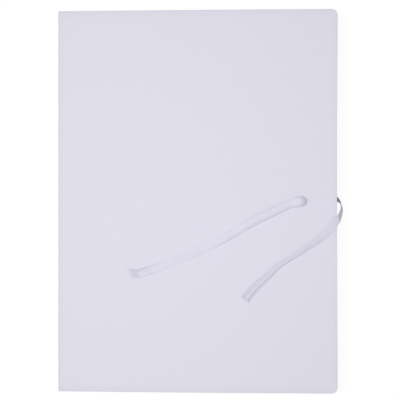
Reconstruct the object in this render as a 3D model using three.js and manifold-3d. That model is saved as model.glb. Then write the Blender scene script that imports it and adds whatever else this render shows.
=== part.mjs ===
// Tie-closure file folder for A4 sheets, closed and empty, lying on its back.
// One sheet of white card makes the back panel, the spine, the front cover and three inner flaps.
// Two flat woven tapes come through slits near the middle of the free edge, for tying in a bow.
// Millimetres. +X runs from the spine to the free edge, +Y towards the head, +Z up from the table.
import * as THREE from "three";
import { mergeVertices } from "three/addons/utils/BufferGeometryUtils.js";
import Module from "manifold-3d";

const wasm = await Module();
wasm.setup();

// The card
const cardThickness = 0.4;
const folderWidth = 234;
const folderHeight = 320;
const coverCornerRadius = 5;

// The spine stands between two creases, and the cover springs up from the upper one.
// The cover's slope falls evenly from the first angle at the spine to the second at the free edge.
const spineHeight = 6;
const spineCreaseRadius = 0.6;
const coverAngleAtSpine = 4.3;
const coverAngleAtEdge = 2;

// The back panel's folded edges lie this far inside the cover's edges
const sideSetback = 1;
const endSetback = 0.6;

// The side flap folds over the end flaps, from a rounder crease, and springs up to the cover
const sideFlapDepth = 92;
const sideFlapShoulder = 6;
const sideFlapTaper = 26;
const sideFlapCornerRadius = 8;
const sideCreaseRadius = 1.6;
const sideFlapAngle = 6.2;

// The head flap and the tail flap are alike and lie nearly flat
const endFlapDepth = 88;
const endFlapShoulder = 9;
const endFlapTaper = 16;
const endFlapCornerRadius = 8;
const endCreaseRadius = 0.5;
const endFlapAngle = 0.6;

// The ties and their slits. Where a tie lies on the card it keeps the clearance from it.
const tieWidth = 7;
const tieThickness = 0.4;
const tieClearance = 0.3;
const slitInset = 26.5;
const slitGap = 3.4;
const slitEndClearance = 0.5;

// The back panel rises a little over the back tie, which lies just above the table
const floorGap = 0.05;
const riseSideClearance = 0.9;
const riseFlankWidth = 3;

// Each folded part is drawn with a strip of the back panel this wide, by which they join
const backOverlap = 6;

// How finely the curves are cut into straight steps
const coverSteps = 24;
const creaseSteps = 8;
const tieStepsPerPoint = 2;

// The ties' routes are lists of stops: x, y, a height and the turn of the tape's outer face about Y.
// A turn of 90 faces up, 0 faces +X and -90 faces down.

// Front tie, glued inside the cover: x from the slit, y, drop below where it lies on the inner face
const frontTieInnerStops = [
  [19, 0, 0, 90],
  [13, 0, 0, 90],
  [7.6, 0, 0, 90],
  [3.8, 0, 0.1, 88],
];

// Front tie, out through the slit and over the cover: x from the slit, y, lift over where it lies
const frontTieOuterStops = [
  [1.3, 0, -1.3, 62],
  [0.75, 0, -0.65, 42],
  [0.35, 0, 0, 40],
  [-0.25, 0, 0.62, 48],
  [-1.2, 0, 1.3, 56],
  [-2.4, 0, 1.95, 63],
  [-3.9, -0.1, 2.48, 72],
  [-5.9, -0.4, 2.7, 86],
  [-8.6, -1.15, 2.2, 94],
  [-11.8, -2.25, 1.25, 96],
  [-15.6, -3.8, 0.6, 93],
  [-21.4, -6.6, 0.3, 90],
  [-35.5, -13.2, 0.1, 90],
  [-48.8, -20.1, 0.2, 90],
  [-63, -28.6, 0.4, 90],
  [-75.5, -35.2, 0.4, 90],
  [-88.1, -41.1, 0.2, 90],
  [-100.7, -46.9, 0.1, 90],
  [-113.3, -52, 0.1, 90],
  [-125.8, -56.2, 0.1, 90],
  [-141, -60.8, 0.1, 90],
];

// Back tie, glued inside the back panel: x from the slit, y, lift over where it lies
const backTieInnerStops = [
  [-19, 0, 0, -90],
  [-12.5, 0, 0, -90],
  [-6.5, 0, 0, -90],
  [-1.8, 0, 0, -90],
  [-0.1, 0.1, -0.32, -95],
];

// Back tie, under the back panel: x from the free edge, y, lift over where it lies
const backTieUnderStops = [
  [-24.6, 0.2, 0.02, -90],
  [-20, 0.8, 0, -90],
  [-14, 1.7, 0, -90],
  [-8, 2.4, 0, -90],
  [-3, 2.6, 0, -90],
  [-0.9, 2.4, 0.1, -88],
];

// Back tie, round the free edge: x from the edge, y, share of the edge's height
const backTieLoopStops = [
  [0.6, 2.0, 0.07, -56],
  [1.7, 1.4, 0.13, -18],
  [2.8, 0.4, 0.2, 6],
  [3.8, -1.1, 0.285, 15],
  [4.4, -3.2, 0.38, 23],
  [4.4, -5.7, 0.49, 31],
  [3.8, -8.3, 0.65, 39],
  [2.6, -11.1, 0.86, 49],
  [0.8, -14.0, 1.07, 62],
];

// Back tie, over the cover: x from the free edge, y, lift over where it lies
const backTieOverStops = [
  [-1.7, -17.0, 0.8, 80],
  [-4.8, -21.0, 0.3, 90],
  [-10.5, -27.0, 0.1, 90],
  [-20.5, -34.9, 0.1, 90],
  [-31.3, -42.4, 0.2, 90],
  [-41.2, -48.4, 0.5, 90],
  [-50.4, -54.8, 0.3, 90],
  [-57.9, -62.1, 0.1, 90],
  [-65.4, -68.9, 0.1, 90],
  [-72, -75.7, 0.1, 90],
  [-76.2, -80.8, 0.1, 90],
];

// Places that follow from the sizes
const spineX = -folderWidth / 2;
const freeEdgeX = folderWidth / 2;
const headY = folderHeight / 2;
const panelSideX = freeEdgeX - sideSetback;
const panelEndY = headY - endSetback;
const slitX = freeEdgeX - slitInset;
const panelMidZ = cardThickness / 2;
const spineFold = spineCreaseRadius + cardThickness / 2;
const sideFold = sideCreaseRadius + cardThickness / 2;
const endFold = endCreaseRadius + cardThickness / 2;
const coverStartAngle = THREE.MathUtils.degToRad(coverAngleAtSpine);
const coverSlopeAtSpine = Math.tan(coverStartAngle);
const coverSlopeAtEdge = Math.tan(THREE.MathUtils.degToRad(coverAngleAtEdge));
const coverStartX = spineX + cardThickness / 2 + spineFold * (1 - Math.sin(coverStartAngle));
const coverStartZ = spineHeight - cardThickness / 2 - spineFold * (1 - Math.cos(coverStartAngle));
const coverRun = freeEdgeX - coverStartX;

// Height of the middle of the cover's thickness
function coverMidZ(x) {
  const along = x - coverStartX;
  const slopeLoss = (coverSlopeAtSpine - coverSlopeAtEdge) / coverRun;
  return coverStartZ + coverSlopeAtSpine * along - (slopeLoss * along * along) / 2;
}

function coverTopZ(x) {
  return coverMidZ(x) + cardThickness / 2;
}

// A fold line drawn as a pen moves: straight runs and round creases, in the plane of the section
class FoldLine {
  constructor(x, z, heading) {
    this.points = [new THREE.Vector2(x, z)];
    this.heading = heading;
  }

  last() {
    return this.points[this.points.length - 1];
  }

  straight(length) {
    const step = new THREE.Vector2(Math.cos(this.heading), Math.sin(this.heading));
    this.points.push(this.last().clone().addScaledVector(step, length));
    return this;
  }

  // Positive angles turn to the left
  crease(radius, angle) {
    const side = Math.sign(angle);
    const start = this.last().clone();
    const startHeading = this.heading;
    for (let i = 1; i <= creaseSteps; i += 1) {
      const turned = startHeading + (angle * i) / creaseSteps;
      const point = start.clone();
      point.x += side * radius * (Math.sin(turned) - Math.sin(startHeading));
      point.y -= side * radius * (Math.cos(turned) - Math.cos(startHeading));
      this.points.push(point);
    }
    this.heading = startHeading + angle;
    return this;
  }

  to(x, z) {
    this.points.push(new THREE.Vector2(x, z));
    return this;
  }
}

// The outline of a sheet of the card's thickness that has the line at its middle
function sheetSection(points) {
  const left = [];
  const right = [];
  points.forEach((point, i) => {
    const before = points[Math.max(i - 1, 0)];
    const after = points[Math.min(i + 1, points.length - 1)];
    const into = (i > 0 ? point.clone().sub(before) : after.clone().sub(point)).normalize();
    const out = (i < points.length - 1 ? after.clone().sub(point) : into.clone()).normalize();
    const across = new THREE.Vector2(-into.y - out.y, into.x + out.x).normalize();
    const reach = cardThickness / 2 / across.dot(new THREE.Vector2(-into.y, into.x));
    left.push(point.clone().addScaledVector(across, reach));
    right.push(point.clone().addScaledVector(across, -reach));
  });
  return new THREE.Shape(left.concat(right.reverse()));
}

// Section drawn in X and Z, made long in Y
function alongY(shape, startY, endY) {
  const geometry = new THREE.ExtrudeGeometry(shape, { depth: endY - startY, bevelEnabled: false });
  const turn = new THREE.Matrix4().makeBasis(
    new THREE.Vector3(1, 0, 0),
    new THREE.Vector3(0, 0, 1),
    new THREE.Vector3(0, -1, 0),
  );
  return geometry.applyMatrix4(turn).translate(0, endY, 0);
}

// Section drawn in Y and Z, made long in X
function alongX(shape, startX, endX) {
  const geometry = new THREE.ExtrudeGeometry(shape, { depth: endX - startX, bevelEnabled: false });
  const turn = new THREE.Matrix4().makeBasis(
    new THREE.Vector3(0, 1, 0),
    new THREE.Vector3(0, 0, 1),
    new THREE.Vector3(1, 0, 0),
  );
  return geometry.applyMatrix4(turn).translate(startX, 0, 0);
}

// Outline drawn in X and Y, made tall enough to cut any part of the card
function upright(shape) {
  const height = 4 * coverTopZ(freeEdgeX);
  const geometry = new THREE.ExtrudeGeometry(shape, { depth: height, bevelEnabled: false, curveSegments: 8 });
  return geometry.translate(0, 0, -height / 2);
}

function solidFrom(geometry) {
  const bare = geometry.clone();
  bare.deleteAttribute("normal");
  bare.deleteAttribute("uv");
  const merged = mergeVertices(bare, 1e-5);
  const vertProperties = new Float32Array(merged.attributes.position.array);
  const triVerts = new Uint32Array(merged.index.array);
  return new wasm.Manifold(new wasm.Mesh({ numProp: 3, vertProperties, triVerts }));
}

function geometryFrom(solid) {
  const mesh = solid.getMesh();
  const geometry = new THREE.BufferGeometry();
  geometry.setAttribute("position", new THREE.BufferAttribute(mesh.vertProperties, 3));
  geometry.setIndex(new THREE.BufferAttribute(mesh.triVerts, 1));
  geometry.computeVertexNormals();
  return geometry;
}

// Outline with its corners rounded, each corner given as x, y, radius, in order round the outline
function roundedOutline(corners) {
  const shape = new THREE.Shape();
  corners.forEach(([x, y, radius], i) => {
    const corner = new THREE.Vector2(x, y);
    const before = new THREE.Vector2(...corners[(i + corners.length - 1) % corners.length]);
    const after = new THREE.Vector2(...corners[(i + 1) % corners.length]);
    const toBefore = before.sub(corner).normalize();
    const toAfter = after.sub(corner).normalize();
    const halfAngle = Math.acos(toBefore.dot(toAfter)) / 2;
    const cut = radius / Math.tan(halfAngle);
    const start = corner.clone().addScaledVector(toBefore, cut);
    const end = corner.clone().addScaledVector(toAfter, cut);
    if (i === 0) {
      shape.moveTo(start.x, start.y);
    } else {
      shape.lineTo(start.x, start.y);
    }
    if (radius > 0) {
      shape.quadraticCurveTo(corner.x, corner.y, end.x, end.y);
    }
  });
  shape.closePath();
  return shape;
}

function backPanel() {
  const line = new FoldLine(spineX + backOverlap, panelMidZ, 0).to(panelSideX - sideFold, panelMidZ);
  return solidFrom(alongY(sheetSection(line.points), -panelEndY + endFold, panelEndY - endFold));
}

// The spine and the front cover, from a strip of the back panel onwards
function spineAndCover() {
  const line = new FoldLine(spineX + 2 * backOverlap, panelMidZ, Math.PI);
  line.to(spineX + cardThickness / 2 + spineFold, panelMidZ);
  line.crease(spineFold, -Math.PI / 2);
  line.to(spineX + cardThickness / 2, spineHeight - cardThickness / 2 - spineFold);
  line.crease(spineFold, -(Math.PI / 2 - coverStartAngle));
  for (let i = 1; i <= coverSteps; i += 1) {
    const x = coverStartX + (coverRun * i) / coverSteps;
    line.to(x, coverMidZ(x));
  }
  const strip = solidFrom(alongY(sheetSection(line.points), -headY, headY));
  const outline = roundedOutline([
    [spineX - cardThickness, -headY, 0],
    [freeEdgeX, -headY, coverCornerRadius],
    [freeEdgeX, headY, coverCornerRadius],
    [spineX - cardThickness, headY, 0],
  ]);
  return strip.intersect(solidFrom(upright(outline)));
}

function sideFlap() {
  const angle = THREE.MathUtils.degToRad(sideFlapAngle);
  const line = new FoldLine(panelSideX - sideFold - backOverlap, panelMidZ, 0);
  line.straight(backOverlap);
  line.crease(sideFold, Math.PI - angle);
  line.straight(sideFlapDepth);
  const tipX = line.last().x;
  const creaseEndY = panelEndY - sideFlapShoulder;
  const tipEndY = creaseEndY - sideFlapTaper;
  const strip = solidFrom(alongY(sheetSection(line.points), -creaseEndY, creaseEndY));
  const outline = roundedOutline([
    [freeEdgeX, -creaseEndY, 0],
    [freeEdgeX, creaseEndY, 0],
    [panelSideX - sideFold, creaseEndY, 0],
    [tipX, tipEndY, sideFlapCornerRadius],
    [tipX, -tipEndY, sideFlapCornerRadius],
    [panelSideX - sideFold, -creaseEndY, 0],
  ]);
  return strip.intersect(solidFrom(upright(outline)));
}

function headFlap() {
  const angle = THREE.MathUtils.degToRad(endFlapAngle);
  const line = new FoldLine(panelEndY - endFold - backOverlap, panelMidZ, 0);
  line.straight(backOverlap);
  line.crease(endFold, Math.PI - angle);
  line.straight(endFlapDepth);
  const tipY = line.last().x;
  const spineEndX = spineX + endFlapShoulder;
  const sideEndX = panelSideX - endFlapShoulder;
  const strip = solidFrom(alongX(sheetSection(line.points), spineEndX, sideEndX));
  const outline = roundedOutline([
    [spineEndX, headY, 0],
    [spineEndX, panelEndY - endFold, 0],
    [spineEndX + endFlapTaper, tipY, endFlapCornerRadius],
    [sideEndX - endFlapTaper, tipY, endFlapCornerRadius],
    [sideEndX, panelEndY - endFold, 0],
    [sideEndX, headY, 0],
  ]);
  return strip.intersect(solidFrom(upright(outline)));
}

// A bar with sloping flanks along X over the back tie's track, whose top is at the given height
function riseBar(topZ, flankShift, startX, endX) {
  const trackY = backTieUnderStops.map((stop) => stop[1]);
  const reach = tieWidth / 2 + riseSideClearance + flankShift;
  const lowY = Math.min(...trackY) - reach;
  const highY = Math.max(...trackY) + reach;
  const section = new THREE.Shape([
    new THREE.Vector2(lowY - riseFlankWidth, -cardThickness),
    new THREE.Vector2(highY + riseFlankWidth, -cardThickness),
    new THREE.Vector2(highY, topZ),
    new THREE.Vector2(lowY, topZ),
  ]);
  return solidFrom(alongX(section, startX, endX));
}

// Where the back tie lies under the back panel, the card rises over it as far as the side crease
function raiseOverBackTie(card) {
  const channelTop = floorGap + tieThickness + tieClearance;
  const lipX = slitX + slitGap / 2;
  const bar = riseBar(channelTop + cardThickness, cardThickness, lipX, panelSideX - cardThickness);
  const floor = solidFrom(
    new THREE.BoxGeometry(2 * folderWidth, 2 * folderHeight, folderHeight).translate(0, 0, folderHeight / 2),
  );
  const channel = riseBar(channelTop, 0, lipX, freeEdgeX + tieWidth);
  return card.add(bar.intersect(floor)).subtract(channel);
}

function slit(z) {
  const length = tieWidth + 2 * slitEndClearance;
  const box = new THREE.BoxGeometry(slitGap, length, 6 * cardThickness);
  return solidFrom(box.translate(slitX, 0, z));
}

function foldedCard() {
  const flap = headFlap();
  let card = backPanel().add(spineAndCover()).add(sideFlap()).add(flap).add(flap.mirror([0, 1, 0]));
  card = raiseOverBackTie(card);
  card = card.subtract(slit(coverMidZ(slitX)));
  return card.subtract(slit(panelMidZ));
}

// A tape's route through its stops, which keeps the tape's face turned as the stops say
class TieRoute extends THREE.CatmullRomCurve3 {
  constructor(stops) {
    super(stops.map(([x, y, z]) => new THREE.Vector3(x, y, z)), false, "centripetal");
    this.turns = stops.map((stop) => THREE.MathUtils.degToRad(stop[3]));
  }

  faceAt(share) {
    const place = share * (this.turns.length - 1);
    const index = Math.min(Math.floor(place), this.turns.length - 2);
    const turn = THREE.MathUtils.lerp(this.turns[index], this.turns[index + 1], place - index);
    return new THREE.Vector3(Math.cos(turn), 0, Math.sin(turn));
  }

  // Steps follow the stops, so that they are short where the tape bends sharply
  getSpacedPoints(divisions) {
    return this.getPoints(divisions);
  }

  computeFrenetFrames(divisions) {
    const frames = { tangents: [], normals: [], binormals: [] };
    for (let i = 0; i <= divisions; i += 1) {
      const along = this.getTangent(i / divisions);
      const across = this.faceAt(i / divisions).cross(along).normalize();
      frames.tangents.push(along);
      frames.normals.push(across);
      frames.binormals.push(along.clone().cross(across));
    }
    return frames;
  }
}

// The woven tape's section: flat, with thinner selvedges
function tieSection() {
  const halfWidth = tieWidth / 2;
  const halfThickness = tieThickness / 2;
  const selvedge = tieThickness;
  return new THREE.Shape([
    new THREE.Vector2(halfWidth, -halfThickness / 2),
    new THREE.Vector2(halfWidth, halfThickness / 2),
    new THREE.Vector2(halfWidth - selvedge, halfThickness),
    new THREE.Vector2(-halfWidth + selvedge, halfThickness),
    new THREE.Vector2(-halfWidth, halfThickness / 2),
    new THREE.Vector2(-halfWidth, -halfThickness / 2),
    new THREE.Vector2(-halfWidth + selvedge, -halfThickness),
    new THREE.Vector2(halfWidth - selvedge, -halfThickness),
  ]);
}

function tie(stops) {
  const route = new TieRoute(stops);
  const steps = (stops.length - 1) * tieStepsPerPoint;
  return new THREE.ExtrudeGeometry(tieSection(), { steps, bevelEnabled: false, extrudePath: route });
}

function frontTie() {
  const rest = tieClearance + tieThickness / 2;
  const inner = frontTieInnerStops.map(([dx, y, drop, turn]) => {
    const x = slitX + dx;
    return [x, y, coverTopZ(x) - cardThickness - rest - drop, turn];
  });
  const outer = frontTieOuterStops.map(([dx, y, lift, turn]) => {
    const x = slitX + dx;
    return [x, y, coverTopZ(x) + rest + lift, turn];
  });
  return tie([...inner, ...outer]);
}

function backTie() {
  const rest = tieClearance + tieThickness / 2;
  const edgeTop = coverTopZ(freeEdgeX);
  const inner = backTieInnerStops.map(([dx, y, lift, turn]) => {
    return [slitX + dx, y, cardThickness + rest + lift, turn];
  });
  const under = backTieUnderStops.map(([dx, y, lift, turn]) => {
    return [freeEdgeX + dx, y, floorGap + tieThickness / 2 + lift, turn];
  });
  const loop = backTieLoopStops.map(([dx, y, share, turn]) => [freeEdgeX + dx, y, share * edgeTop, turn]);
  const over = backTieOverStops.map(([dx, y, lift, turn]) => {
    const x = freeEdgeX + dx;
    return [x, y, coverTopZ(x) + rest + lift, turn];
  });
  return tie([...inner, ...under, ...loop, ...over]);
}

const whiteCard = new THREE.MeshStandardMaterial({ color: 0xdedce8, roughness: 0.85, metalness: 0 });
const whiteTape = new THREE.MeshStandardMaterial({ color: 0xe0deea, roughness: 0.9, metalness: 0 });

function namedMesh(name, geometry, material) {
  const mesh = new THREE.Mesh(geometry, material);
  mesh.name = name;
  return mesh;
}

const folder = new THREE.Group();
folder.add(namedMesh("folder_card", geometryFrom(foldedCard()), whiteCard));
folder.add(namedMesh("front_tie", frontTie(), whiteTape));
folder.add(namedMesh("back_tie", backTie(), whiteTape));

export default folder;
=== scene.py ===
"""A tie-closure file folder for A4 sheets, closed and empty, lying on its back and seen from above.

The folder is one sheet of white folding board, die cut flat and then creased. It is drawn here the same
way: a flat blank of small squares, each corner of which is moved to where the folds take it. One flat
woven tape comes out of the cover near the middle of the free edge, and a second comes round that edge
from a slit in the back. Both lie loose on the cover. Lengths are in metres.
"""
import math
import random

import bpy
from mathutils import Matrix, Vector


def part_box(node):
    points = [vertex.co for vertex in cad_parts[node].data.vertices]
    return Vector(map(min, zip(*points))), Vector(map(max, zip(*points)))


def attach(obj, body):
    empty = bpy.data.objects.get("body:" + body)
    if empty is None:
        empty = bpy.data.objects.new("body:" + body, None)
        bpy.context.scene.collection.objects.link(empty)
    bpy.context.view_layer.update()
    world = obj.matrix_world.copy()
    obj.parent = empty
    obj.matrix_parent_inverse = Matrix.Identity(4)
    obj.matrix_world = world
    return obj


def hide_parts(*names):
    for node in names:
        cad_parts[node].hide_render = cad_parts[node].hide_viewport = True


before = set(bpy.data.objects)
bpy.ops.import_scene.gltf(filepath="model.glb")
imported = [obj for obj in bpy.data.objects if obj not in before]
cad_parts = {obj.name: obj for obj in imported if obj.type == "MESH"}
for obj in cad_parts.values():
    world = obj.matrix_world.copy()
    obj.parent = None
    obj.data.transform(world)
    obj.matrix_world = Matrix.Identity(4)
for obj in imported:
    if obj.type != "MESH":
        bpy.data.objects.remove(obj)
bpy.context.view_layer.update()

MM = 0.001

card_low, card_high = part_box("folder_card")

# The card's places, from the frame
SPINE_X = card_low.x
FREE_EDGE_X = card_high.x
HEAD_Y = card_high.y

# The card
CARD_THICKNESS = 0.4 * MM
COVER_CORNER = 5 * MM
EDGE_HOLLOW = 0.6 * MM
SPINE_HEIGHT = 6 * MM
SPINE_FOLD = 0.8 * MM
COVER_SLOPE_AT_SPINE = math.tan(math.radians(4.3))
COVER_SLOPE_AT_EDGE = math.tan(math.radians(2))
SIDE_SETBACK = 1 * MM
END_SETBACK = 0.6 * MM

# How handling has left it: a slow wave in the cover. Grey along the closed folder's outline is painted shade
# where its folds and edges turn from the light, with a little wear.
WAVE_HEIGHT = 0.35 * MM
WAVE_LENGTH = 260 * MM
WAVE_START = 0.1
WAVE_SLANT = 0.35
# How grey the card is painted at its outline, as shade and wear, and how fast that fades inwards
OUTLINE_SHADE_AND_WEAR = 0.7
OUTLINE_SHADE_REACH = 1.3 * MM

# The flaps: how far they reach, how far they stand back from the panel's corners, how much their ends
# slant, and the radius and angle of their folds
SIDE_FLAP_DEPTH = 92 * MM
SIDE_FLAP_SHOULDER = 6 * MM
SIDE_FLAP_TAPER = 26 * MM
SIDE_FOLD = 1.8 * MM
SIDE_FLAP_ANGLE = math.radians(6.2)
END_FLAP_DEPTH = 88 * MM
END_FLAP_SHOULDER = 9 * MM
END_FLAP_TAPER = 16 * MM
END_FOLD = 0.7 * MM
END_FLAP_ANGLE = math.radians(0.6)
FLAP_CORNER = 8 * MM

# The tapes, and how far they keep from the card and the floor
TAPE_WIDTH = 7 * MM
TAPE_THICKNESS = 0.4 * MM
TAPE_SEAT = 0.06 * MM
FLOOR_GAP = 0.05 * MM

# Their slits, which lie a little outside the line that the tapes' stops are measured from. The cover's
# one is a shallow arc with pushed-up lips.
SLIT_INSET = 26.5 * MM
SLIT_GAP = 0.8 * MM
SLIT_SHIFT = 0.65 * MM
SLIT_LENGTH = 8.2 * MM
SLIT_BOW = 3.0 * MM
SLIT_BOW_SHAPE = 1.6
SLIT_BOW_REACH_X = 6 * MM
SLIT_BOW_REACH_Y = 9 * MM
LIP_HEIGHT = 0.45 * MM
LIP_REACH_X = 2.2 * MM
LIP_REACH_Y = 4.5 * MM

# The back panel's rise over the tape that runs under it
RISE_HEIGHT = 0.75 * MM
RISE_MIDDLE_Y = 1.45 * MM
RISE_HALF_WIDTH = 5.8 * MM
RISE_FLANK = 3 * MM

# Places that follow from the sizes
PANEL_SIDE_X = FREE_EDGE_X - SIDE_SETBACK
PANEL_END_Y = HEAD_Y - END_SETBACK
PANEL_MID_Z = CARD_THICKNESS / 2
SIDE_FLAP_END_Y = PANEL_END_Y - SIDE_FLAP_SHOULDER
END_FLAP_LEFT_X = SPINE_X + END_FLAP_SHOULDER
END_FLAP_RIGHT_X = PANEL_SIDE_X - END_FLAP_SHOULDER
SLIT_X = FREE_EDGE_X - SLIT_INSET
SLIT_LEFT_X = SLIT_X + SLIT_SHIFT - SLIT_GAP / 2
SLIT_RIGHT_X = SLIT_X + SLIT_SHIFT + SLIT_GAP / 2
COVER_START_ANGLE = math.atan(COVER_SLOPE_AT_SPINE)
COVER_START_X = SPINE_X + CARD_THICKNESS / 2 + SPINE_FOLD * (1 - math.sin(COVER_START_ANGLE))
COVER_START_Z = SPINE_HEIGHT - CARD_THICKNESS / 2 - SPINE_FOLD * (1 - math.cos(COVER_START_ANGLE))


def smooth(share):
    """Eases from 0 to 1."""
    share = min(max(share, 0.0), 1.0)
    return share * share * (3 - 2 * share)


def cover_mid_z(x):
    """Height of the middle of the cover's thickness."""
    along = x - COVER_START_X
    slope_loss = (COVER_SLOPE_AT_SPINE - COVER_SLOPE_AT_EDGE) / (FREE_EDGE_X - COVER_START_X)
    return COVER_START_Z + COVER_SLOPE_AT_SPINE * along - slope_loss * along * along / 2


def cover_top_z(x):
    """Height of the cover's face, without its wave."""
    return cover_mid_z(x) + CARD_THICKNESS / 2


def cover_wave(x, y):
    """The cover isn't quite flat: a slow wave along it, which dies out at the spine."""
    share = (x - COVER_START_X) / (FREE_EDGE_X - COVER_START_X)
    turns = y / WAVE_LENGTH + WAVE_SLANT * share + WAVE_START
    return WAVE_HEIGHT * smooth(share) * math.sin(2 * math.pi * turns)


def cover_surface(x, y):
    """Height of the cover's face, with its wave."""
    return cover_top_z(x) + cover_wave(x, y)


# Camera: straight above the cover, looking down, and framed as the photograph is
CAMERA_OVER_SPINE = 1050 * MM
CAMERA_X = 2.4 * MM
CAMERA_Y = 1.1 * MM
FRAME_WIDTH_AT_SPINE = 336.8 * MM
SENSOR_WIDTH_MM = 36

camera_data = bpy.data.cameras.new("camera")
camera_data.sensor_width = SENSOR_WIDTH_MM
camera_data.lens = SENSOR_WIDTH_MM * CAMERA_OVER_SPINE / FRAME_WIDTH_AT_SPINE
camera = bpy.data.objects.new("camera", camera_data)
camera.location = (CAMERA_X, CAMERA_Y, SPINE_HEIGHT + CAMERA_OVER_SPINE)
bpy.context.scene.collection.objects.link(camera)
bpy.context.scene.camera = camera


# Finishes
def srgb(code):
    """A hex colour as the linear colour that Blender's sockets take."""
    parts = [int(code[i:i + 2], 16) / 255 for i in (1, 3, 5)]
    return [p / 12.92 if p <= 0.04045 else ((p + 0.055) / 1.055) ** 2.4 for p in parts] + [1.0]


def add_node(tree, kind, settings=None, links=None):
    """A node with its settings, and with its inputs set to numbers or linked to other nodes' outputs."""
    node = tree.nodes.new(kind)
    for name, value in (settings or {}).items():
        setattr(node, name, value)
    for name, value in (links or {}).items():
        if isinstance(value, bpy.types.NodeSocket):
            tree.links.new(value, node.inputs[name])
        else:
            node.inputs[name].default_value = value
    return node


def new_material(name):
    """An empty node material and its output node."""
    material = bpy.data.materials.new(name)
    material.use_nodes = True
    material.node_tree.nodes.clear()
    output = add_node(material.node_tree, "ShaderNodeOutputMaterial")
    return material, material.node_tree, output


def folding_board():
    """White coated folding board: matt and even, with a faint cloudiness from the sheet's formation."""
    material, tree, output = new_material("white_folding_board")
    place = add_node(tree, "ShaderNodeTexCoord").outputs["Object"]
    cloud_size = 9 * MM
    clouds = add_node(tree, "ShaderNodeTexNoise", links={
        "Vector": place, "Scale": 1 / cloud_size, "Detail": 3.0, "Roughness": 0.55,
    })
    tint = add_node(tree, "ShaderNodeValToRGB", links={"Fac": clouds.outputs["Fac"]})
    tint.color_ramp.elements[0].position = 0.3
    tint.color_ramp.elements[0].color = srgb("#E0DEEA")
    tint.color_ramp.elements[1].position = 0.7
    tint.color_ramp.elements[1].color = srgb("#E2DFEC")
    # The fibres under the coat are finer than a pixel of the picture, so they only break up the gloss
    fibre_size = 0.5 * MM
    fibre_relief = 0.02 * MM
    fibres = add_node(tree, "ShaderNodeTexNoise", links={
        "Vector": place, "Scale": 1 / fibre_size, "Detail": 4.0, "Roughness": 0.6,
    })
    bump = add_node(tree, "ShaderNodeBump", links={
        "Height": fibres.outputs["Fac"], "Distance": fibre_relief, "Strength": 0.5,
    })
    roughness = add_node(tree, "ShaderNodeMapRange", links={
        "Value": clouds.outputs["Fac"], "To Min": 0.62, "To Max": 0.72,
    })
    # Grey along the closed folder's outline: painted shade where the folds and edges turn from the light,
    # with a little handling wear
    shade_and_wear_share = add_node(tree, "ShaderNodeAttribute", {"attribute_name": "painted_shade_and_wear"})
    colour = add_node(tree, "ShaderNodeMix", {"data_type": "RGBA"})
    tree.links.new(shade_and_wear_share.outputs["Fac"], colour.inputs["Factor"])
    tree.links.new(tint.outputs["Color"], colour.inputs["A"])
    # The grey that the painted shade and wear blend towards
    colour.inputs["B"].default_value = srgb("#D3D0DC")
    surface = add_node(tree, "ShaderNodeBsdfPrincipled", links={
        "Base Color": colour.outputs["Result"], "Roughness": roughness.outputs["Result"],
        "Normal": bump.outputs["Normal"], "IOR": 1.45,
    })
    tree.links.new(surface.outputs["BSDF"], output.inputs["Surface"])
    return material


def cut_board():
    """The board's cut edge: bare fibres without the coat, a little greyer and rougher than the face."""
    material, tree, output = new_material("cut_edge_of_board")
    place = add_node(tree, "ShaderNodeTexCoord").outputs["Object"]
    fibre_size = 0.3 * MM
    fibre_relief = 0.05 * MM
    fibres = add_node(tree, "ShaderNodeTexNoise", links={
        "Vector": place, "Scale": 1 / fibre_size, "Detail": 3.0, "Roughness": 0.7,
    })
    tint = add_node(tree, "ShaderNodeValToRGB", links={"Fac": fibres.outputs["Fac"]})
    tint.color_ramp.elements[0].position = 0.25
    tint.color_ramp.elements[0].color = srgb("#C9C8CC")
    tint.color_ramp.elements[1].position = 0.75
    tint.color_ramp.elements[1].color = srgb("#DAD9DC")
    bump = add_node(tree, "ShaderNodeBump", links={
        "Height": fibres.outputs["Fac"], "Distance": fibre_relief, "Strength": 0.6,
    })
    surface = add_node(tree, "ShaderNodeBsdfPrincipled", links={
        "Base Color": tint.outputs["Color"], "Roughness": 0.95, "Normal": bump.outputs["Normal"],
    })
    tree.links.new(surface.outputs["BSDF"], output.inputs["Surface"])
    return material


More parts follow.
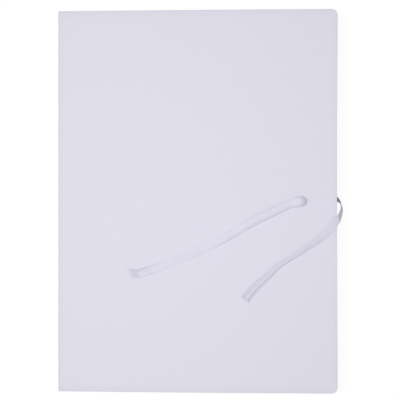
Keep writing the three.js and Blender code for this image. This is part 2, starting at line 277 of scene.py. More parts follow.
def woven_tape():
    """Bleached woven tape: soft and matt, slightly fuzzy, with a fine chequer where weft and warp cross."""
    material, tree, output = new_material("bleached_woven_tape")
    # The map has millimetres along the tape in U and across it in V
    flat = add_node(tree, "ShaderNodeUVMap", {"uv_map": "weave"}).outputs["UV"]
    # The real threads are about 0.5 mm apart. They are drawn coarser, so that they show.
    weft_pitch_mm = 0.9
    warp_pitch_mm = 0.7
    weave_share = 0.3
    relief = 0.12 * MM
    split = add_node(tree, "ShaderNodeSeparateXYZ", links={"Vector": flat})
    waves = []
    for axis, pitch_mm in (("X", weft_pitch_mm), ("Y", warp_pitch_mm)):
        turns = add_node(tree, "ShaderNodeMath", {"operation": "MULTIPLY"})
        tree.links.new(split.outputs[axis], turns.inputs[0])
        turns.inputs[1].default_value = 2 * math.pi / pitch_mm
        wave = add_node(tree, "ShaderNodeMath", {"operation": "SINE"})
        tree.links.new(turns.outputs[0], wave.inputs[0])
        waves.append(wave.outputs[0])
    weave = add_node(tree, "ShaderNodeMath", {"operation": "MULTIPLY"})
    tree.links.new(waves[0], weave.inputs[0])
    tree.links.new(waves[1], weave.inputs[1])
    place = add_node(tree, "ShaderNodeTexCoord").outputs["Object"]
    fuzz_size = 1.5 * MM
    fuzz = add_node(tree, "ShaderNodeTexNoise", links={
        "Vector": place, "Scale": 1 / fuzz_size, "Detail": 5.0, "Roughness": 0.7,
    })
    height = add_node(tree, "ShaderNodeMath", {"operation": "MULTIPLY_ADD"})
    tree.links.new(weave.outputs[0], height.inputs[0])
    height.inputs[1].default_value = weave_share
    tree.links.new(fuzz.outputs["Fac"], height.inputs[2])
    tint = add_node(tree, "ShaderNodeValToRGB", links={"Fac": height.outputs[0]})
    tint.color_ramp.elements[0].position = 0.15
    tint.color_ramp.elements[0].color = srgb("#DCD9E7")
    tint.color_ramp.elements[1].position = 0.75
    tint.color_ramp.elements[1].color = srgb("#E8E5F3")
    # Painted shade: the tape is greyed where it should lie in shade, at the front tape's root and cut end and
    # along most of the back tape
    shade_and_wear_share = add_node(tree, "ShaderNodeAttribute", {"attribute_name": "painted_shade_and_wear"})
    colour = add_node(tree, "ShaderNodeMix", {"data_type": "RGBA"})
    tree.links.new(shade_and_wear_share.outputs["Fac"], colour.inputs["Factor"])
    tree.links.new(tint.outputs["Color"], colour.inputs["A"])
    colour.inputs["B"].default_value = srgb("#BDBAC6")
    bump = add_node(tree, "ShaderNodeBump", links={
        "Height": height.outputs[0], "Distance": relief, "Strength": 0.7,
    })
    surface = add_node(tree, "ShaderNodeBsdfPrincipled", links={
        "Base Color": colour.outputs["Result"], "Roughness": 0.88, "Normal": bump.outputs["Normal"],
        "Sheen Weight": 0.25, "Sheen Roughness": 0.5,
    })
    tree.links.new(surface.outputs["BSDF"], output.inputs["Surface"])
    return material


BOARD = folding_board()
CUT_BOARD = cut_board()
TAPE = woven_tape()


# The flat blank: how close its lines run, in the open, beside the slits and round the creases
GRID = 4 * MM
FINE_GRID = 1 * MM
FINE_BAND = 6 * MM
SLIT_SURROUND = 14 * MM
SURROUND_GRID = 1.25 * MM
HINGE_GRID = 2 * MM
CREASE_STEPS = 8
CREASE_SHARES = [i / CREASE_STEPS for i in range(1, CREASE_STEPS + 1)]
CORNER_STEPS = 8

# What counts as the same place, so that rounding doesn't open a gap
TINY = 1e-6
ROUNDING = 1e-9


def spread(start, end, step):
    """Evenly spaced places from start up to end, without end."""
    count = max(1, round(abs(end - start) / step))
    return [start + (end - start) * i / count for i in range(count)]


def corner_places(end, radius):
    """Places that close in on a rounded corner, as equal turns round it would."""
    turns = [math.pi / 2 * i / CORNER_STEPS for i in range(CORNER_STEPS)]
    return [end - radius * (1 - math.sin(turn)) for turn in turns] + [end]


class Section:
    """A fold's section as a line of straight runs and round creases, read by the length along it."""

    def __init__(self, start, heading):
        self.parts = []
        self.length = 0.0
        self.at = Vector(start)
        self.heading = heading

    def run(self, length):
        """Adds a straight run."""
        self.parts.append((self.length, length, self.at.copy(), self.heading, 0.0))
        self.at += Vector((math.cos(self.heading), math.sin(self.heading))) * length
        self.length += length
        return self

    def crease(self, radius, turn):
        """Adds a round crease."""
        length = abs(turn) * radius
        start, heading = self.at.copy(), self.heading
        self.parts.append((self.length, length, start, heading, turn / length))
        self.at = self.bent(start, heading, turn / length, length)
        self.heading += turn
        self.length += length
        return self

    @staticmethod
    def bent(start, heading, turn_rate, along):
        """The point that a line reaches when it turns evenly."""
        if turn_rate == 0:
            return start + Vector((math.cos(heading), math.sin(heading))) * along
        end = heading + turn_rate * along
        shift = Vector((math.sin(end) - math.sin(heading), math.cos(heading) - math.cos(end)))
        return start + shift / turn_rate

    def point(self, along):
        """The point at a length along the section."""
        for start, length, at, heading, rate in reversed(self.parts):
            if along >= start - ROUNDING:
                return self.bent(at, heading, rate, along - start)
        return self.parts[0][2].copy()


SPINE_START = Vector((SPINE_X + CARD_THICKNESS / 2 + SPINE_FOLD, PANEL_MID_Z))
SPINE_WALL = SPINE_HEIGHT - CARD_THICKNESS - 2 * SPINE_FOLD
spine_section = Section(SPINE_START, math.pi)
spine_section.crease(SPINE_FOLD, -math.pi / 2).run(SPINE_WALL)
spine_section.crease(SPINE_FOLD, -(math.pi / 2 - COVER_START_ANGLE))
COVER_AFTER = spine_section.length

SIDE_START = Vector((PANEL_SIDE_X - SIDE_FOLD, PANEL_MID_Z))
side_section = Section(SIDE_START, 0.0)
side_section.crease(SIDE_FOLD, math.pi - SIDE_FLAP_ANGLE)
SIDE_CREASE = side_section.length
side_section.run(SIDE_FLAP_DEPTH)

END_START = Vector((PANEL_END_Y - END_FOLD, PANEL_MID_Z))
end_section = Section(END_START, 0.0)
end_section.crease(END_FOLD, math.pi - END_FLAP_ANGLE)
END_CREASE = end_section.length
end_section.run(END_FLAP_DEPTH)


def flap_half_width(along, crease, depth, half_at_fold, taper):
    """Half of a flap's width at a length along it: slanting ends, then rounded corners at the tip."""
    reach = max(along - crease, 0.0)
    half = half_at_fold - taper * reach / depth
    into = reach - (depth - FLAP_CORNER)
    if into > 0:
        half -= FLAP_CORNER - math.sqrt(max(FLAP_CORNER ** 2 - into ** 2, 0.0))
    return half


def slit_bow(x, y):
    """The cover's slit is a shallow arc, so its ends lie nearer the spine than its middle."""
    share = min(abs(y) / (SLIT_LENGTH / 2), 1.0)
    fading = ((x - SLIT_X) / SLIT_BOW_REACH_X) ** 2 + (y / SLIT_BOW_REACH_Y) ** 4
    return SLIT_BOW * share ** SLIT_BOW_SHAPE * math.exp(-fading)


def lines_past_slit(start, end, origin):
    """Lines from start up to end, without end, which run close together beside the slit.

    They are measured in x from the origin.
    """
    left, right = SLIT_LEFT_X - origin, SLIT_RIGHT_X - origin
    before = spread(start, left - FINE_BAND, GRID) + spread(left - FINE_BAND, left, FINE_GRID)
    after = spread(right, right + FINE_BAND, FINE_GRID)[1:] + spread(right + FINE_BAND, end, GRID)
    return before + [left, right] + after


def flap_lines(crease_length, depth):
    """Lines by length from a flap's fold: round the crease, then out to its rounded corners."""
    beyond = spread(0, depth - FLAP_CORNER, GRID)[1:] + corner_places(depth, FLAP_CORNER)
    return [crease_length * c for c in CREASE_SHARES] + [crease_length + c for c in beyond]


def lines_across():
    """Where the blank's lines lie from the cover's free edge to the side flap's tip, and on which part."""
    # The cover's lines are measured in x from the end of the spine's upper crease
    cover_run = FREE_EDGE_X - COVER_START_X
    cover = lines_past_slit(0, cover_run - COVER_CORNER, COVER_START_X)
    cover += corner_places(cover_run, COVER_CORNER)
    lower_end = SPINE_FOLD * math.pi / 2
    upper_start = lower_end + SPINE_WALL
    spine = [lower_end * c for c in CREASE_SHARES]
    spine += spread(lower_end, upper_start, FINE_GRID)[1:] + [upper_start]
    spine += [upper_start + (COVER_AFTER - upper_start) * c for c in CREASE_SHARES]
    spine += [COVER_AFTER + c for c in cover[1:]]

    panel = spread(SPINE_START.x, END_FLAP_LEFT_X, GRID)
    panel += lines_past_slit(END_FLAP_LEFT_X, END_FLAP_RIGHT_X, 0)
    panel += spread(END_FLAP_RIGHT_X, SIDE_START.x, HINGE_GRID) + [SIDE_START.x]
    side = flap_lines(SIDE_CREASE, SIDE_FLAP_DEPTH)

    places = [SPINE_START.x - s for s in reversed(spine)] + panel + [SIDE_START.x + s for s in side]
    kinds = ["spine"] * len(spine) + ["panel"] * len(panel) + ["side"] * len(side)
    return places, kinds


def lines_along():
    """Where the blank's lines lie from the tail flap's tip to the head flap's, and on which part."""
    half_slit = SLIT_LENGTH / 2
    half_panel = [half_slit] + spread(half_slit, SLIT_SURROUND, SURROUND_GRID)[1:]
    half_panel += spread(SLIT_SURROUND, SIDE_FLAP_END_Y, GRID) + [SIDE_FLAP_END_Y, END_START.x]
    between = spread(-half_slit, half_slit, FINE_GRID)[1:]
    end = flap_lines(END_CREASE, END_FLAP_DEPTH)

    places = [-END_START.x - s for s in reversed(end)] + [-p for p in reversed(half_panel)]
    places += between + half_panel + [END_START.x + s for s in end]
    kinds = ["tail"] * len(end) + ["panel"] * (2 * len(half_panel) + len(between)) + ["head"] * len(end)
    return places, kinds


def rise_over_tape(x, y):
    """How far the back panel rises over the tape that lies under it."""
    off = abs(y - RISE_MIDDLE_Y) - RISE_HALF_WIDTH
    return RISE_HEIGHT * (1 - smooth(off / RISE_FLANK)) * smooth((x - SLIT_X + SLIT_GAP) / (2 * SLIT_GAP))


def lip(x, y):
    """How far the slit's lips are pushed up where the tape comes through."""
    dx = (x - SLIT_X - SLIT_SHIFT) / LIP_REACH_X
    dy = y / LIP_REACH_Y
    return LIP_HEIGHT * math.exp(-dx * dx - dy * dy)


def cover_point(along, v):
    """A point of the spine or the cover, from the length along the sheet and the place across it."""
    if along <= COVER_AFTER:
        place = spine_section.point(along)
        return Vector((place.x, v, place.y))
    x = COVER_START_X + (along - COVER_AFTER)
    into = x - (FREE_EDGE_X - COVER_CORNER)
    half = HEAD_Y
    if into > 0:
        half -= COVER_CORNER - math.sqrt(max(COVER_CORNER ** 2 - into ** 2, 0.0))
    # Only the lines of the outer half of the cover draw in round its corner
    y = v * half / HEAD_Y if abs(v) > HEAD_Y / 2 else v
    hollow = EDGE_HOLLOW * math.cos(math.pi / 2 * v / HEAD_Y) * smooth((x - SLIT_X) / SLIT_INSET)
    x -= hollow + slit_bow(x, y)
    return Vector((x, y, cover_mid_z(x) + cover_wave(x, y) + lip(x, y)))


def folded_point(u, u_kind, v, v_kind):
    """Where a corner of the flat blank's squares goes when the blank is folded."""
    if u_kind == "spine":
        return cover_point(SPINE_START.x - u, v if v_kind == "panel" else math.copysign(HEAD_Y, v))
    if u_kind == "side":
        along = u - SIDE_START.x
        place = side_section.point(along)
        half = flap_half_width(along, SIDE_CREASE, SIDE_FLAP_DEPTH, SIDE_FLAP_END_Y, SIDE_FLAP_TAPER)
        fade = max(1 - along / (SIDE_CREASE / 2), 0.0)
        return Vector((place.x, v * half / SIDE_FLAP_END_Y, place.y + rise_over_tape(place.x, v) * fade))
    if v_kind == "panel":
        return Vector((u, v, PANEL_MID_Z + rise_over_tape(u, v)))
    along = abs(v) - END_START.x
    place = end_section.point(along)
    middle = (END_FLAP_LEFT_X + END_FLAP_RIGHT_X) / 2
    half_at_fold = (END_FLAP_RIGHT_X - END_FLAP_LEFT_X) / 2
    half = flap_half_width(along, END_CREASE, END_FLAP_DEPTH, half_at_fold, END_FLAP_TAPER)
    return Vector((middle + (u - middle) * half / half_at_fold, math.copysign(place.x, v), place.y))


def new_piece(name, vertices, faces, materials):
    """A piece from its points and faces."""
    mesh = bpy.data.meshes.new(name)
    mesh.from_pydata([tuple(v) for v in vertices], [], faces)
    mesh.validate()
    for material in materials:
        mesh.materials.append(material)
    piece = bpy.data.objects.new(name, mesh)
    bpy.context.scene.collection.objects.link(piece)
    return piece


def set_painted_shade_and_wear(piece, values):
    """Stores how far painted shade and wear grey each point, for the materials."""
    painted_shade_and_wear = piece.data.attributes.new("painted_shade_and_wear", "FLOAT", "POINT")
    painted_shade_and_wear.data.foreach_set("value", values)


def apply_modifiers(piece):
    """Gives the piece the mesh that its modifiers make, and removes them."""
    graph = bpy.context.evaluated_depsgraph_get()
    mesh = bpy.data.meshes.new_from_object(piece.evaluated_get(graph))
    piece.modifiers.clear()
    piece.data = mesh


def shade_smooth(piece, sharp_from=None):
    """Smooths the shading, but for edges that turn by more than a number of degrees."""
    mesh = piece.data
    mesh.polygons.foreach_set("use_smooth", [True] * len(mesh.polygons))
    if sharp_from is not None:
        mesh.set_sharp_from_angle(angle=math.radians(sharp_from))


def outline_shade_and_wear(point):
    """How much the card is greyed, most along the outline of the closed folder: painted shade where its folds
    and edges turn from the light, with a little wear.
    """
    from_edge = min(FREE_EDGE_X - point.x, HEAD_Y - abs(point.y), point.x - SPINE_X)
    return OUTLINE_SHADE_AND_WEAR * math.exp(-max(from_edge, 0.0) / OUTLINE_SHADE_REACH)


def folded_card():
    """The whole folder but for its tapes, as one sheet."""
    u, u_kinds = lines_across()
    v, v_kinds = lines_along()
    panel_u = [i for i, kind in enumerate(u_kinds) if kind == "panel"]
    panel_v = [j for j, kind in enumerate(v_kinds) if kind == "panel"]
    slit_along = [COVER_AFTER + x - COVER_START_X for x in (SLIT_LEFT_X, SLIT_RIGHT_X)]

    def cell_kind(i, j):
        """Which region the square above and right of a line crossing belongs to, if the blank has it."""
        u_low, u_high, v_low, v_high = u[i], u[i + 1], v[j], v[j + 1]
        u_middle = (u_low + u_high) / 2
        level_with_slit = abs(v_low + v_high) / 2 < SLIT_LENGTH / 2
        if i < panel_u[0]:
            # The spine and the cover reach one square past the panel at the head and the tail
            if j < panel_v[0] - 1 or j > panel_v[-1]:
                return None
            in_slit = level_with_slit and slit_along[0] < SPINE_START.x - u_middle < slit_along[1]
            return None if in_slit else "spine"
        if i >= panel_u[-1]:
            level_with_flap = v_low > -SIDE_FLAP_END_Y - TINY and v_high < SIDE_FLAP_END_Y + TINY
            return "side" if level_with_flap else None
        if panel_v[0] <= j < panel_v[-1]:
            in_slit = level_with_slit and SLIT_LEFT_X < u_middle < SLIT_RIGHT_X
            return None if in_slit else "panel"
        if u_low > END_FLAP_LEFT_X - TINY and u_high < END_FLAP_RIGHT_X + TINY:
            return "head" if j >= panel_v[-1] else "tail"
        return None

    vertices, faces = [], []
    number = {}

    def corner(i, j, kind):
        """The number of the point at a line crossing. The cover shares none with the head and tail flaps."""
        key = (i, j, kind == "spine" and v_kinds[j] != "panel")
        if key not in number:
            number[key] = len(vertices)
            u_kind = "spine" if kind == "spine" else u_kinds[i]
            vertices.append(folded_point(u[i], u_kind, v[j], v_kinds[j]))
        return number[key]

    for i in range(len(u) - 1):
        for j in range(len(v) - 1):
            kind = cell_kind(i, j)
            if kind:
                faces.append([corner(i, j, kind), corner(i + 1, j, kind),
                              corner(i + 1, j + 1, kind), corner(i, j + 1, kind)])
    piece = new_piece("folded_card", vertices, faces, [BOARD, CUT_BOARD])
    set_painted_shade_and_wear(piece, [outline_shade_and_wear(vertex) for vertex in vertices])
    thick = piece.modifiers.new("thickness", "SOLIDIFY")
    thick.thickness = CARD_THICKNESS
    thick.offset = 0
    thick.use_even_offset = True
    thick.material_offset_rim = 1
    apply_modifiers(piece)
    shade_smooth(piece, sharp_from=40)
    return piece


card = folded_card()
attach(card, "root")
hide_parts("folder_card")


# The tapes. Each stop is x, y, height and the turn of the tape's outer face about Y, in millimetres and
# degrees, measured as the part's own routes are.

# The front tape, x from its slit: glued under the cover, by how far it lies below it
FRONT_INNER_STOPS = [
    (19, 0, 0, 90), (13, 0, 0, 90), (7.6, 0, 0, 90), (3.8, 0, 0.1, 88),
]
# Then out through the slit and over the cover, by how far it lies above it
FRONT_OUTER_STOPS = [
    (1.3, 0, -1.3, 62), (0.75, 0, -0.65, 42), (0.35, 0, 0, 40), (-0.25, 0, 0.62, 48),
    (-1.2, 0, 1.3, 56), (-2.4, 0, 1.95, 63), (-3.9, -0.1, 2.48, 72), (-5.9, -0.4, 2.7, 86),
    (-8.6, -1.15, 2.2, 94), (-11.8, -2.25, 1.25, 96), (-15.6, -3.8, 0.6, 93), (-21.4, -6.6, 0.3, 90),
    (-35.5, -13.2, 0.1, 90), (-48.8, -20.1, 0.2, 90), (-63, -28.6, 0.4, 90), (-75.5, -35.2, 0.4, 90),
    (-88.1, -41.1, 0.2, 90), (-100.7, -46.9, 0.1, 90), (-113.3, -52, 0.1, 90), (-125.8, -56.2, 0.1, 90),
    (-141, -60.8, 0.1, 90),
]
# The back tape, x from its slit: glued on the back panel, by how far it lies above it
BACK_INNER_STOPS = [
    (-19, 0, 0, -90), (-12.5, 0, 0, -90), (-6.5, 0, 0, -90), (-1.8, 0, 0, -90), (-0.1, 0.1, -0.32, -95),
]
# Under the folder, x from the free edge from here on, by how far it lies above the floor
BACK_UNDER_STOPS = [
    (-24.6, 0.2, 0.02, -90), (-20, 0.8, 0, -90), (-14, 1.7, 0, -90), (-8, 2.4, 0, -90),
    (-3, 2.6, 0, -90), (-0.9, 2.4, 0.1, -88),
]
# Round the free edge, by height as a share of the cover's height there
BACK_LOOP_STOPS = [
    (0.6, 2.0, 0.07, -56), (1.7, 1.4, 0.13, -18), (2.8, 0.4, 0.2, 6), (3.8, -1.1, 0.285, 15),
    (4.4, -3.2, 0.38, 23), (4.4, -5.7, 0.49, 31), (3.8, -8.3, 0.65, 39), (2.6, -11.1, 0.86, 49),
    (0.8, -14.0, 1.07, 62),
]
# And over the cover, by how far it lies above it
BACK_OVER_STOPS = [
    (-1.7, -17.0, 0.8, 80), (-4.8, -21.0, 0.3, 90), (-10.5, -27.0, 0.1, 90), (-20.5, -34.9, 0.1, 90),
    (-31.3, -42.4, 0.2, 90), (-41.2, -48.4, 0.5, 90), (-50.4, -54.8, 0.3, 90), (-57.9, -62.1, 0.1, 90),
    (-65.4, -68.9, 0.1, 90), (-72, -75.7, 0.1, 90), (-76.2, -80.8, 0.1, 90),
]
STEPS_PER_STOP = 12
TAPE_REST = TAPE_SEAT + TAPE_THICKNESS / 2


def front_route():
    """The front tape's stops as points and turns."""
    stops = []
    for dx, y, drop, turn in FRONT_INNER_STOPS:
        x = SLIT_X + dx * MM
        z = cover_surface(x, y * MM) - CARD_THICKNESS - TAPE_REST - drop * MM
        stops.append((Vector((x, y * MM, z)), turn))
    for dx, y, lift, turn in FRONT_OUTER_STOPS:
        x = SLIT_X + dx * MM
        stops.append((Vector((x, y * MM, cover_surface(x, y * MM) + TAPE_REST + lift * MM)), turn))
    return stops


def back_route():
    """The back tape's stops as points and turns."""
    edge_top = cover_top_z(FREE_EDGE_X)
    stops = []
    for dx, y, lift, turn in BACK_INNER_STOPS:
        stops.append((Vector((SLIT_X + dx * MM, y * MM, CARD_THICKNESS + TAPE_REST + lift * MM)), turn))
    for dx, y, lift, turn in BACK_UNDER_STOPS:
        z = FLOOR_GAP + TAPE_THICKNESS / 2 + lift * MM
        stops.append((Vector((FREE_EDGE_X + dx * MM, y * MM, z)), turn))
    for dx, y, share, turn in BACK_LOOP_STOPS:
        stops.append((Vector((FREE_EDGE_X + dx * MM, y * MM, share * edge_top)), turn))
    for dx, y, lift, turn in BACK_OVER_STOPS:
        x = FREE_EDGE_X + dx * MM
        stops.append((Vector((x, y * MM, cover_surface(x, y * MM) + TAPE_REST + lift * MM)), turn))
    return stops


def smooth_route(stops):
    """Points and face turns along a smooth curve through the stops, which doesn't overshoot close ones.

    Each point is blended from the four stops round it, spaced by the roots of their distances.
    """
    points = [stop[0] for stop in stops]
    first, last = 2 * points[0] - points[1], 2 * points[-1] - points[-2]
    padded = [first] + points + [last]
    line, turns = [], []
    for k in range(len(stops) - 1):
        p0, p1, p2, p3 = padded[k:k + 4]
        t1 = (p1 - p0).length ** 0.5
        t2 = t1 + (p2 - p1).length ** 0.5
        t3 = t2 + (p3 - p2).length ** 0.5
        # The last stretch takes in its end
        steps = STEPS_PER_STOP + 1 if k == len(stops) - 2 else STEPS_PER_STOP
        for step in range(steps):
            share = step / STEPS_PER_STOP
            t = t1 + (t2 - t1) * share
            a1 = p0 * ((t1 - t) / t1) + p1 * (t / t1)
            a2 = p1 * ((t2 - t) / (t2 - t1)) + p2 * ((t - t1) / (t2 - t1))
            a3 = p2 * ((t3 - t) / (t3 - t2)) + p3 * ((t - t2) / (t3 - t2))
            b1 = a1 * ((t2 - t) / t2) + a2 * (t / t2)
            b2 = a2 * ((t3 - t) / (t3 - t1)) + a3 * ((t - t1) / (t3 - t1))
            line.append(b1 * ((t2 - t) / (t2 - t1)) + b2 * ((t - t1) / (t2 - t1)))
            turns.append(math.radians(stops[k][1] + (stops[k + 1][1] - stops[k][1]) * smooth(share)))
    return line, turns


def keyed(keys, at):
    """The values that rows of keys give at a length along the tape, eased between the rows."""
    if at <= keys[0][0]:
        return keys[0][1:]
    for low, high in zip(keys, keys[1:]):
        if at <= high[0]:
            share = smooth((at - low[0]) / (high[0] - low[0]))
            return tuple(a + (b - a) * share for a, b in zip(low[1:], high[1:]))
    return keys[-1][1:]


# How the tapes have set from being tied, by millimetres from where they come out over the cover: how far
# the tape cups (degrees, edges up where positive), rolls over, and rises to a ridge (degrees each), where
# across it the ridge runs, its width and the thickness of its edges as shares, and how far painted shade
# greys it. Each row is place, cup, roll, ridge, ridge's place, width, edge, painted shade.
FRONT_SET = [
    (-6, 0, 0, 0, 0, 0.8, 0.65, 0.1), (-1, -140, 2, 10, 0, 0.94, 0.65, 0.18),
    (3, -140, 0, 6, 0, 1.16, 0.65, 0.18), (8, -125, -5, 0, 0, 1.2, 0.65, 0.08),
    (15, -110, -9, 0, 0, 1.08, 0.65, 0.02), (24, -100, -12, 0, 0, 1.04, 0.65, 0),
    (42, -95, -10, 0, 0, 1.02, 0.65, 0), (56, -100, -8, 10, -0.1, 1.0, 0.65, 0),
    (63, -90, 1, 20, 0.1, 0.95, 0.65, 0), (72, -100, -3, 8, 0, 0.98, 0.6, 0),
    (84, -60, 0, 0, 0, 0.97, 0.35, 0), (96, -10, 0, 0, 0, 0.97, 0.15, 0), (130, -10, 0, 0, 0, 0.97, 0.15, 0),
    (140, 50, 0, 0, 0, 1.0, 0.4, 0.04), (150, 125, -4, 0, 0, 1.1, 0.6, 0.12),
    (158, 125, -4, 0, 0, 1.05, 0.55, 0.16), (166, 30, -2, 0, 0, 0.95, 0.2, 0.16),
]
BACK_SET = [
    (-40, 0, 0, 0, 0, 1.0, 0.65, 0), (-31, 0, 0, 0, 0, 0.66, 0.65, 0), (-26, 0, 0, 0, 0, 0.56, 0.65, 0),
    (-22, 0, 0, 0, 0, 0.58, 0.65, 0), (-17, 0, 0, 0, 0, 0.78, 0.65, 0), (-12, 0, -7, 0, 0, 0.81, 0.65, 0),
    (-4, -5, -11, 0, 0.2, 0.84, 0.65, 0), (4, -10, 0, 0, 0.2, 0.92, 0.65, 0.14),
    (16, -15, 0, 0, 0.2, 1.0, 0.65, 0.17), (27, -40, -5, 14, 0.2, 0.88, 0.6, 0.18),
    (38, -30, -6, 42, 0.1, 0.8, 0.6, 0.2), (47, -20, -8, 46, 0.3, 0.76, 0.6, 0.21),
    (60, -10, -10, 56, 0.35, 0.78, 0.6, 0.21), (72, 5, -9, 66, 0.3, 0.92, 0.6, 0.2),
    (84, 20, -7, 74, 0.3, 1.18, 0.55, 0.22), (100, 30, -6, 70, 0.3, 1.32, 0.4, 0.28),
]

# The tape's section: the ridge's width, how much of the cup the middle takes, and how near its edges it
# thins, all as shares of half the width or as powers of them
STEPS_ACROSS = 28
RING = 2 * (STEPS_ACROSS + 1)
RIDGE_HALF_WIDTH = 0.14
CUP_IN_MIDDLE = 0.35
EDGE_THINNING_POWER = 6

# How far out of the slit or past the edge a tape settles on the cover, and over what stretch
CLEAR_OF_EDGE = 5 * MM
LANDING = 10 * MM

# The cut ends: thinned by fraying over a short length, and cut unevenly
FRAY_LENGTH = 5 * MM
FRAY_THINNING = 0.75
FRAY_SHORTEST = -0.4 * MM
FRAY_LONGEST = 0.8 * MM


def section_line(cup, ridge, ridge_at, width, edge):
    """The tape's section as points: place across, height, slope and thickness, got by turning a line.

    The middle stays nearly flat, and the edges turn most.
    """
    step = TAPE_WIDTH * width / STEPS_ACROSS
    across = rise = 0.0
    line = []
    for k in range(STEPS_ACROSS + 1):
        w = 2 * k / STEPS_ACROSS - 1
        from_ridge = (w - ridge_at) / RIDGE_HALF_WIDTH
        slope = cup / 2 * w * (CUP_IN_MIDDLE + (1 - CUP_IN_MIDDLE) * w * w)
        slope -= ridge * from_ridge * math.exp((1 - from_ridge * from_ridge) / 2)
        line.append((across, rise, slope, TAPE_THICKNESS * (1 - (1 - edge) * w ** EDGE_THINNING_POWER)))
        across += math.cos(slope) * step
        rise += math.sin(slope) * step
    mid_across = line[-1][0] / 2
    mid_rise = sum(p[1] for p in line) / len(line)
    return [(a - mid_across, r - mid_rise, slope, thick) for a, r, slope, thick in line]


def over_cover(point):
    """Whether a point of a route is over the cover."""
    return point.x < FREE_EDGE_X and point.z > cover_top_z(point.x)


def directions(line, i, turn, roll):
    """The tape's directions at a point of its route: along it, across it and out of its face."""
    along = (line[min(i + 1, len(line) - 1)] - line[max(i - 1, 0)]).normalized()
    face = Vector((math.cos(turn), 0, math.sin(turn)))
    across = face.cross(along).normalized()
    face = along.cross(across)
    rolled_across = across * math.cos(roll) + face * math.sin(roll)
    rolled_face = face * math.cos(roll) - across * math.sin(roll)
    return along, rolled_across, rolled_face


def settled(section, out_by):
    """A section of the tape, moved up or down to lie on the cover once it is clear of slit or edge."""
    if out_by <= CLEAR_OF_EDGE:
        return section
    lift = max(cover_surface(v.x, v.y) + TAPE_SEAT - v.z for v in section)
    if lift < 0:
        lift *= smooth((out_by - CLEAR_OF_EDGE) / LANDING)
    return [v + Vector((0, 0, lift)) for v in section]


def skin(rings, points, base=0):
    """Squares that join each ring of points to the next."""
    faces = []
    for i in range(rings - 1):
        for k in range(points):
            a = base + i * points + k
            b = base + i * points + (k + 1) % points
            faces.append([a, b, b + points, a + points])
    return faces


def set_weave(piece, places):
    """Stores each point's place in the weave, in millimetres along the tape and across it."""
    layer = piece.data.uv_layers.new(name="weave")
    for loop in piece.data.loops:
        layer.data[loop.index].uv = places[loop.vertex_index]


def tape(name, route, sets, seed):
    """A woven tape lofted along its route, with the set it has taken, settled on the cover."""
    line, turns = route
    draw = random.Random(seed)
    lengths = [0.0]
    for a, b in zip(line, line[1:]):
        lengths.append(lengths[-1] + (b - a).length)
    start = next(length for length, point in zip(lengths, line) if over_cover(point))
    vertices, centres, painted_shade_and_wear, places = [], [], [], []
    for i, (point, turn) in enumerate(zip(line, turns)):
        out_by = lengths[i] - start
        cup, roll, ridge, ridge_at, width, edge, painted_shade = keyed(sets, out_by / MM)
        along, across, face = directions(line, i, turn, math.radians(roll))
        thinned = 1 - FRAY_THINNING * smooth(1 - (lengths[-1] - lengths[i]) / FRAY_LENGTH)
        outer, inner = [], []
        shape = section_line(math.radians(cup), math.radians(ridge), ridge_at, width, edge)
        for aside, rise, slope, thick in shape:
            normal = face * math.cos(slope) - across * math.sin(slope)
            middle = point + across * aside + face * rise
            if i == len(line) - 1:
                middle += along * draw.uniform(FRAY_SHORTEST, FRAY_LONGEST)
            outer.append(middle + normal * thick * thinned / 2)
            inner.append(middle - normal * thick * thinned / 2)
        section = settled(outer + inner[::-1], out_by)
        centres.append(sum(section, Vector()) / len(section))
        vertices += section
        # How far painted shade greys this ring, for the material
        painted_shade_and_wear += [painted_shade] * RING
        for k in range(RING):
            steps_in = k if k <= STEPS_ACROSS else RING - 1 - k
            places.append((lengths[i] / MM, steps_in / STEPS_ACROSS * TAPE_WIDTH / MM))
    faces = skin(len(line), RING)
    # Each end is closed by a strip of squares across it
    last = (len(line) - 1) * RING
    for k in range(STEPS_ACROSS):
        strip = [k, k + 1, RING - 2 - k, RING - 1 - k]
        faces.append(strip[::-1])
        faces.append([last + corner for corner in strip])
    piece = new_piece(name, vertices, faces, [TAPE])
    set_painted_shade_and_wear(piece, painted_shade_and_wear)
    set_weave(piece, places)
    shade_smooth(piece, sharp_from=60)
    return piece, centres


# Loose threads at the cut ends. Each starts a little way inside the tape, leans to one side and arches.
# All take one place of the weave, so that they show no pattern.
THREAD_RADIUS = 0.07 * MM
THREAD_SIDES = 5
THREAD_STEPS = 6
THREAD_LIFT = 0.08 * MM
THREAD_START = 0.3 * MM
THREAD_ARCH = 0.15 * MM
THREAD_SCATTER = 0.05
THREAD_LEAN = 0.3
THREAD_BEND = 1.5
# How far painted shade greys the threads, for the dark haze at the cut end
THREAD_PAINTED_SHADE = 0.15
SHORTEST_THREAD = 0.35
OUTER_THREADS_SHORTER = 0.3
THREAD_IN_WEAVE = (0.25, 0.25)


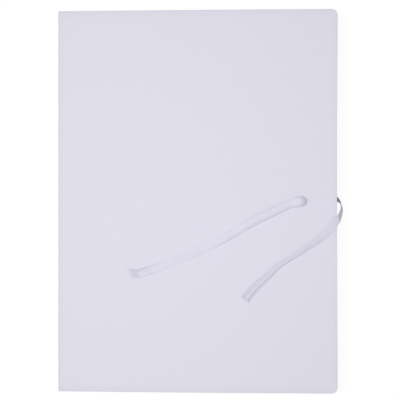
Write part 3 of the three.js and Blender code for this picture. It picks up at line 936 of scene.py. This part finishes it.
def threads(name, centres, count, spread_at_end, reach, fan, drift, seed):
    """Loose warp threads, which fan out from the tape's cut end and lie on the cover."""
    draw = random.Random(seed)
    end = centres[-1]
    # The tape's heading, over its last few steps
    along = (centres[-1] - centres[-6]).normalized()
    up = Vector((0, 0, 1))
    across = up.cross(along).normalized()
    end_height = max(end.z - cover_surface(end.x, end.y) - 2 * THREAD_LIFT, 0.0) / 2
    vertices, faces = [], []
    for k in range(count):
        w = (k + 0.5) / count * 2 - 1 + draw.uniform(-THREAD_SCATTER, THREAD_SCATTER)
        start = end - along * THREAD_START + across * w * spread_at_end
        length = draw.uniform(SHORTEST_THREAD, 1.0) * reach * (1 - OUTER_THREADS_SHORTER * abs(w))
        lean = draw.uniform(-THREAD_LEAN, THREAD_LEAN) + fan * w + drift
        arch = draw.uniform(0.0, THREAD_ARCH)
        base = len(vertices)
        for s in range(THREAD_STEPS + 1):
            share = s / THREAD_STEPS
            middle = start + along * length * share + across * length * lean * share ** THREAD_BEND
            middle.z = cover_surface(middle.x, middle.y) + THREAD_LIFT + arch * math.sin(math.pi * share)
            middle.z += end_height * (1 - smooth(2 * share))
            for q in range(THREAD_SIDES):
                turn = 2 * math.pi * q / THREAD_SIDES
                vertices.append(middle + (across * math.cos(turn) + up * math.sin(turn)) * THREAD_RADIUS)
        faces += skin(THREAD_STEPS + 1, THREAD_SIDES, base)
        tip = base + THREAD_STEPS * THREAD_SIDES
        faces.append([base + q for q in range(THREAD_SIDES)][::-1])
        faces.append([tip + q for q in range(THREAD_SIDES)])
    piece = new_piece(name, vertices, faces, [TAPE])
    set_painted_shade_and_wear(piece, [THREAD_PAINTED_SHADE] * len(vertices))
    set_weave(piece, [THREAD_IN_WEAVE] * len(vertices))
    shade_smooth(piece)
    return piece


front_tape, front_centres = tape("front_tape", smooth_route(front_route()), FRONT_SET, seed=5)
back_tape, back_centres = tape("back_tape", smooth_route(back_route()), BACK_SET, seed=6)
front_threads = threads(
    "front_tape_threads", front_centres, count=90, spread_at_end=3.2 * MM, reach=8 * MM,
    fan=0.4, drift=-0.42, seed=4)
back_threads = threads(
    "back_tape_threads", back_centres, count=36, spread_at_end=4.2 * MM, reach=3.6 * MM,
    fan=0.2, drift=0.0, seed=8)

for piece, node, loose, centres, leaves in (
    (front_tape, "front_tie", front_threads, front_centres, (SLIT_X, 0, cover_top_z(SLIT_X))),
    (back_tape, "back_tie", back_threads, back_centres, (SLIT_X, 0, CARD_THICKNESS)),
):
    for part in (piece, loose):
        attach(part, "root")
    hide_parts(node)


# The floor, the surround and the lamps. A glow of 1 would show the floor as pure white by itself.
FLOOR_HALF_SIZE = 3.0
FLOOR_GLOW = 0.92
SURROUND_LIGHT = 0.376
SURROUND_SEEN = 1.0


def seen_directly(tree):
    """1 for the camera's rays and for what gloss and glass show, 0 for the rays that carry light."""
    rays = add_node(tree, "ShaderNodeLightPath")
    factor = rays.outputs["Is Camera Ray"]
    for kind in ("Is Glossy Ray", "Is Transmission Ray"):
        either = add_node(tree, "ShaderNodeMath", {"operation": "MAXIMUM"})
        tree.links.new(factor, either.inputs[0])
        tree.links.new(rays.outputs[kind], either.inputs[1])
        factor = either.outputs[0]
    return factor


def studio_floor():
    """A pale table top. What the camera sees of it is white, with the folder's shadow left in faintly."""
    material, tree, output = new_material("white_table_top")
    table = add_node(tree, "ShaderNodeBsdfDiffuse", links={"Color": srgb("#DCDCDE")})
    lit = add_node(tree, "ShaderNodeBsdfDiffuse", links={"Color": srgb("#5E5E5E")})
    glow = add_node(tree, "ShaderNodeEmission", links={"Color": srgb("#FFFFFF"), "Strength": FLOOR_GLOW})
    seen = add_node(tree, "ShaderNodeAddShader")
    tree.links.new(lit.outputs[0], seen.inputs[0])
    tree.links.new(glow.outputs[0], seen.inputs[1])
    mix = add_node(tree, "ShaderNodeMixShader", links={"Fac": seen_directly(tree)})
    tree.links.new(table.outputs[0], mix.inputs[1])
    tree.links.new(seen.outputs[0], mix.inputs[2])
    tree.links.new(mix.outputs[0], output.inputs["Surface"])
    corners = [(x * FLOOR_HALF_SIZE, y * FLOOR_HALF_SIZE, 0) for x, y in ((-1, -1), (1, -1), (1, 1), (-1, 1))]
    floor = new_piece("floor", corners, [(0, 1, 2, 3)], [material])


def studio_world():
    """An even pale surround, which fills the shadows. The camera sees it as white."""
    world = bpy.data.worlds.new("studio")
    world.use_nodes = True
    tree = world.node_tree
    tree.nodes.clear()
    output = add_node(tree, "ShaderNodeOutputWorld")
    light, white = [
        add_node(tree, "ShaderNodeBackground", links={"Color": srgb("#FFFFFF"), "Strength": strength})
        for strength in (SURROUND_LIGHT, SURROUND_SEEN)
    ]
    mix = add_node(tree, "ShaderNodeMixShader", links={"Fac": seen_directly(tree)})
    tree.links.new(light.outputs[0], mix.inputs[1])
    tree.links.new(white.outputs[0], mix.inputs[2])
    tree.links.new(mix.outputs[0], output.inputs["Surface"])
    bpy.context.scene.world = world


def softbox(name, place, aim, size, power):
    """A large square lamp with a cloth front, turned to face a point of the folder."""
    data = bpy.data.lights.new(name, "AREA")
    data.size = size
    data.energy = power
    lamp = bpy.data.objects.new(name, data)
    lamp.location = place
    lamp.rotation_mode = "QUATERNION"
    lamp.rotation_quaternion = (Vector(place) - Vector(aim)).to_track_quat("Z", "Y")
    lamp.visible_camera = False
    bpy.context.scene.collection.objects.link(lamp)


studio_floor()
studio_world()
softbox("window_side_softbox", place=(-2.4, -0.1, 4.2), aim=(0, 0, 0), size=1.5, power=80.0)
softbox("overhead_softbox", place=(-0.055, 0.0, 0.66), aim=(-0.055, 0, 0), size=0.3, power=1.26)

bpy.context.scene.view_settings.view_transform = "Standard"
